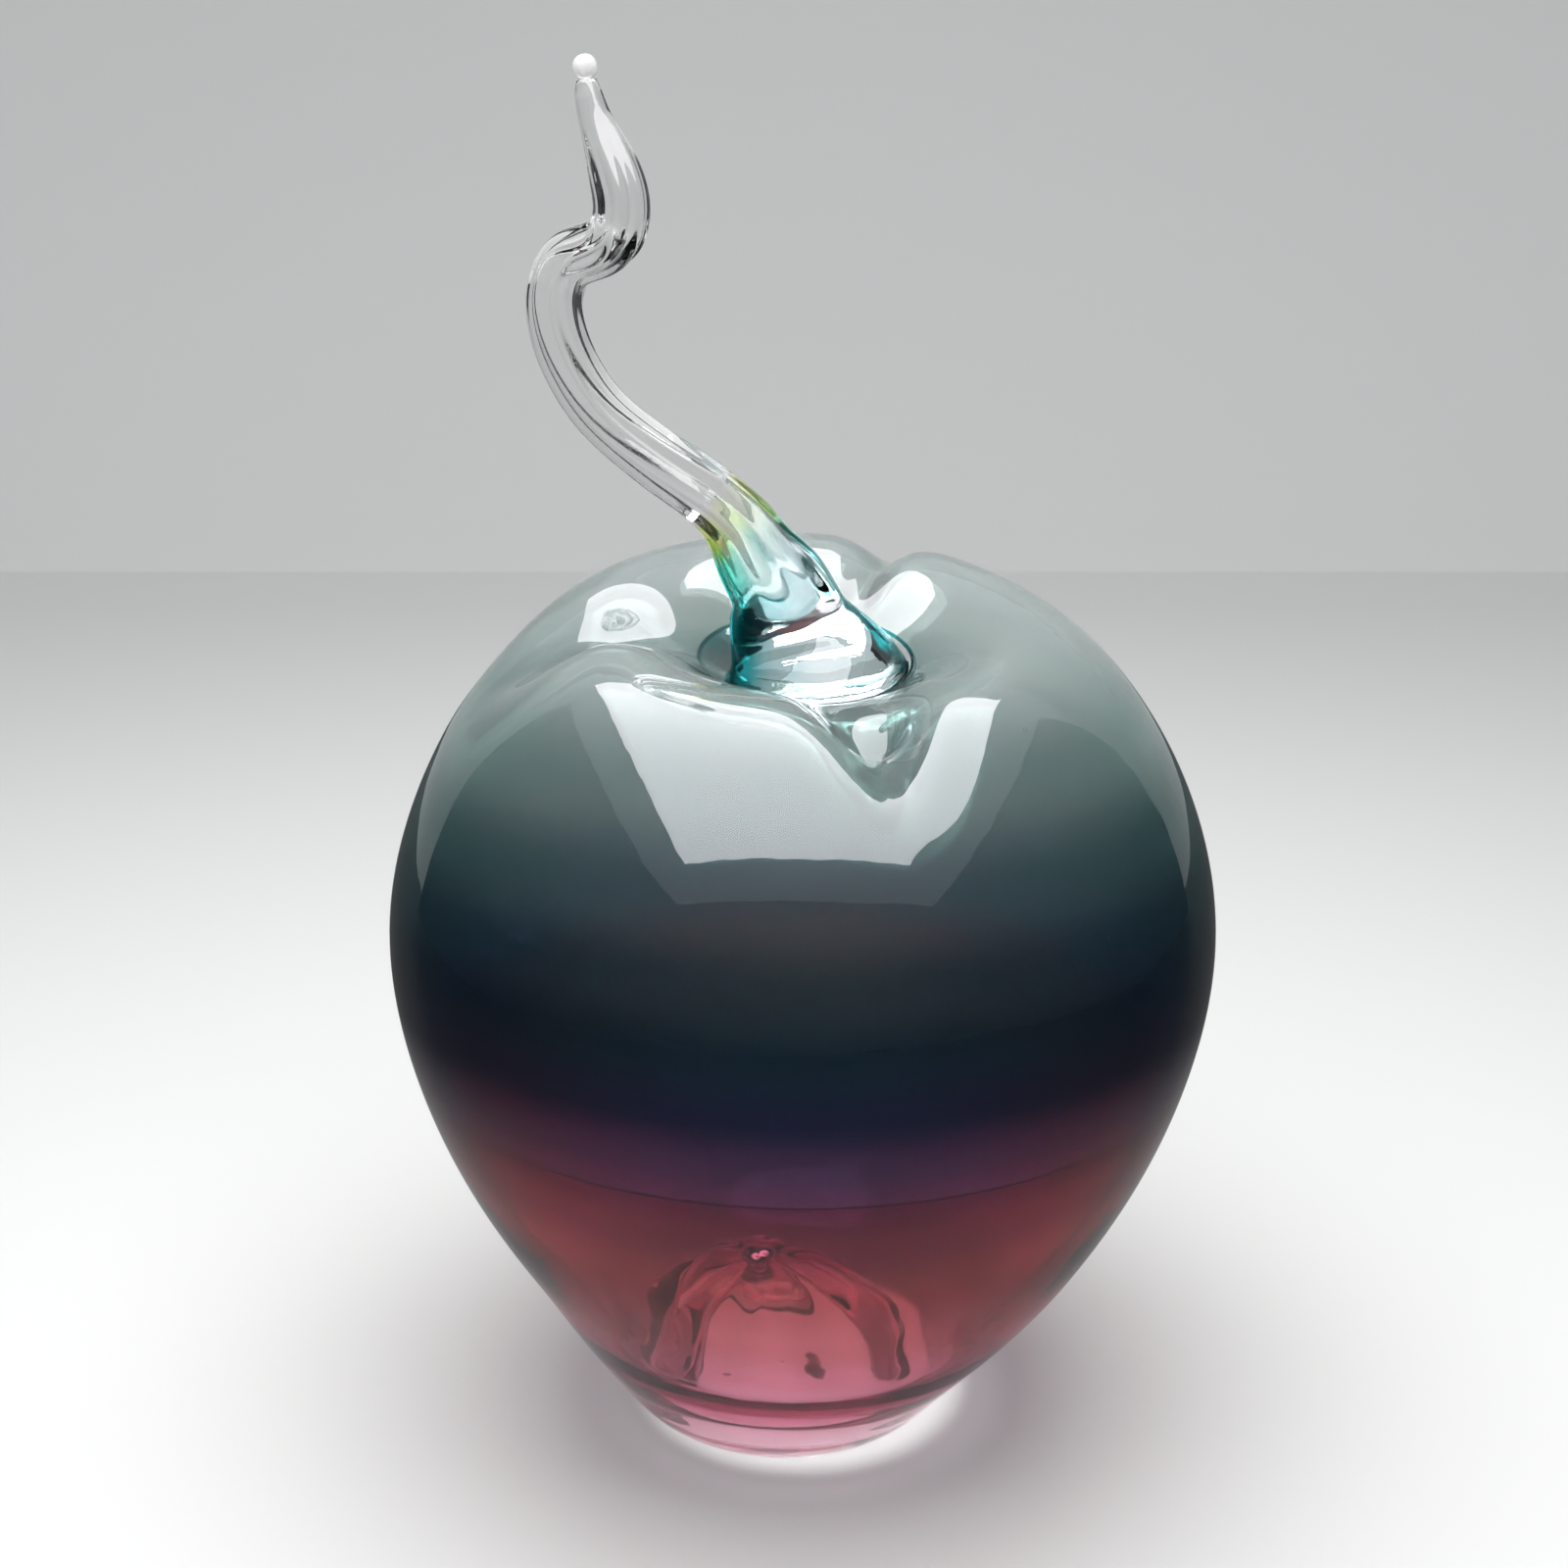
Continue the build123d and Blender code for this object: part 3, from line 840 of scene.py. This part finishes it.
# The glass gathers light on the table under and round the foot, where few light paths of a render find their
# way. A glow painted on the paper stands in for it: it lights the punt from below, and its outer part shows
# as the bright ring round the foot.
glow_radius = 26.0
glow_stops = [(0, grey(0.8)), (0.62, grey(0.65)), (0.8, grey(0.08)), (1, grey(0))]
paper, shader = new_material("sweep_paper")
shader.inputs["Base Color"].default_value = (0.72, 0.72, 0.71, 1)
shader.inputs["Roughness"].default_value = 0.6
shader.inputs["Emission Strength"].default_value = 1
link(paper, spot_ramp(paper, 0.0, glow_radius, glow_stops), shader.inputs["Emission Color"])
sweep.data.materials.append(paper)

# The soft box: an area lamp, and just under it a bright card that the glass mirrors
box_left, box_right, box_front, box_back, box_height = -175.0, 150.0, -212.0, 150.0, 330.0
card_drop = 1.0
lamp_data = bpy.data.lights.new("soft_box", "AREA")
lamp_data.shape = "RECTANGLE"
lamp_data.size = (box_right - box_left) * MM
lamp_data.size_y = (box_back - box_front) * MM
lamp_data.energy = 1.35
lamp = bpy.data.objects.new("soft_box", lamp_data)
lamp.location = Vector(((box_left + box_right) / 2, (box_front + box_back) / 2, box_height)) * MM
lamp.visible_glossy = False
lamp.visible_transmission = False
bpy.context.scene.collection.objects.link(lamp)

card_plan = [(box_left, box_front), (box_right, box_front), (box_right, box_back), (box_left, box_back)]
card_corners = np.array([(x, y, box_height - card_drop) for x, y in card_plan])
card = mesh_object("soft_box_face", [(card_corners, [[0, 3, 2, 1]])])
card_light, shader = new_material("soft_box_face")
shader.inputs["Base Color"].default_value = (0, 0, 0, 1)
shader.inputs["Emission Color"].default_value = (1, 0.96, 1, 1)
shader.inputs["Emission Strength"].default_value = 8.5
card.data.materials.append(card_light)

world = bpy.data.worlds.new("studio")
bpy.context.scene.world = world
world.use_nodes = True
sky = world.node_tree.nodes["Background"]
sky.inputs["Color"].default_value = (0.8, 0.82, 0.84, 1)
sky.inputs["Strength"].default_value = 0.8

# Dark cards at the left, at the right and in front, which the glass mirrors and shows through itself
flag_reach, flag_back, flag_front, flag_foot, flag_top = 330.0, 200.0, -420.0, 0.2, 420.0
flag_side = [(flag_front, flag_foot), (flag_back, flag_foot), (flag_back, flag_top), (flag_front, flag_top)]
flag_corners = np.array([(x, y, z) for x in (-flag_reach, flag_reach) for y, z in flag_side])
flags = mesh_object("black_flags", [(flag_corners, [[0, 1, 2, 3], [5, 4, 7, 6], [4, 0, 3, 7]])])
flag_cloth, shader = new_material("flag_cloth")
shader.inputs["Base Color"].default_value = (0.03, 0.03, 0.035, 1)
shader.inputs["Roughness"].default_value = 0.8
flags.data.materials.append(flag_cloth)

# The dark cloth: a ring just over the paper, round the foot, which the glass only mirrors
cloth_inner, cloth_outer, cloth_height, cloth_corners = 23.0, 560.0, 0.4, 96
# Painted light and shade in the mirror images: the cloth is pale grey by the foot and dark further out.
shade_start, shade_end = 22.0, 130.0
shade_stops = [(0, grey(0.6)), (0.25, grey(0.25)), (1, grey(0.03))]
turn = np.linspace(0, 2 * np.pi, cloth_corners, endpoint=False)
rim = np.stack([np.cos(turn), np.sin(turn), np.zeros(cloth_corners)], axis=1)
cloth_points = np.concatenate([rim * cloth_inner, rim * cloth_outer]) + (foot_shift, 0, cloth_height)
i = np.arange(cloth_corners)
following = (i + 1) % cloth_corners
cloth_faces = np.stack([i, cloth_corners + i, cloth_corners + following, following], axis=1).tolist()
cloth = mesh_object("table_cloth", [(cloth_points, cloth_faces)])
cloth_paint, shader = new_material("table_cloth")
link(cloth_paint, spot_ramp(cloth_paint, shade_start, shade_end, shade_stops), shader.inputs["Base Color"])
cloth.data.materials.append(cloth_paint)
cloth.visible_transmission = False

for mirrored in (card, flags, cloth):
    mirrored.visible_camera = False
    mirrored.visible_diffuse = False
    mirrored.visible_shadow = False

# The camera comes from the fit to the photograph: its focal length in pixels of the 1600-pixel frame, its
# place, and its pitch in degrees below the level
sensor_width = 36
frame_pixels = 1600
focal_pixels = 2276
camera_place = (-2.0, -229.9, 149.9)
camera_pitch = 18.23
camera_data = bpy.data.cameras.new("camera")
camera_data.sensor_width = sensor_width
camera_data.lens = sensor_width * focal_pixels / frame_pixels
camera_data.clip_start = 5 * MM
camera = bpy.data.objects.new("camera", camera_data)
camera.location = Vector(camera_place) * MM
camera.rotation_euler = (math.radians(90 - camera_pitch), 0, 0)
bpy.context.scene.collection.objects.link(camera)
bpy.context.scene.camera = camera

# Light crosses up to sixteen faces of glass on its way through the foot, and is mirrored at some of them
light_bounces = 32
bpy.context.scene.cycles.max_bounces = light_bounces
bpy.context.scene.cycles.transmission_bounces = light_bounces
bpy.context.scene.view_settings.view_transform = "Standard"
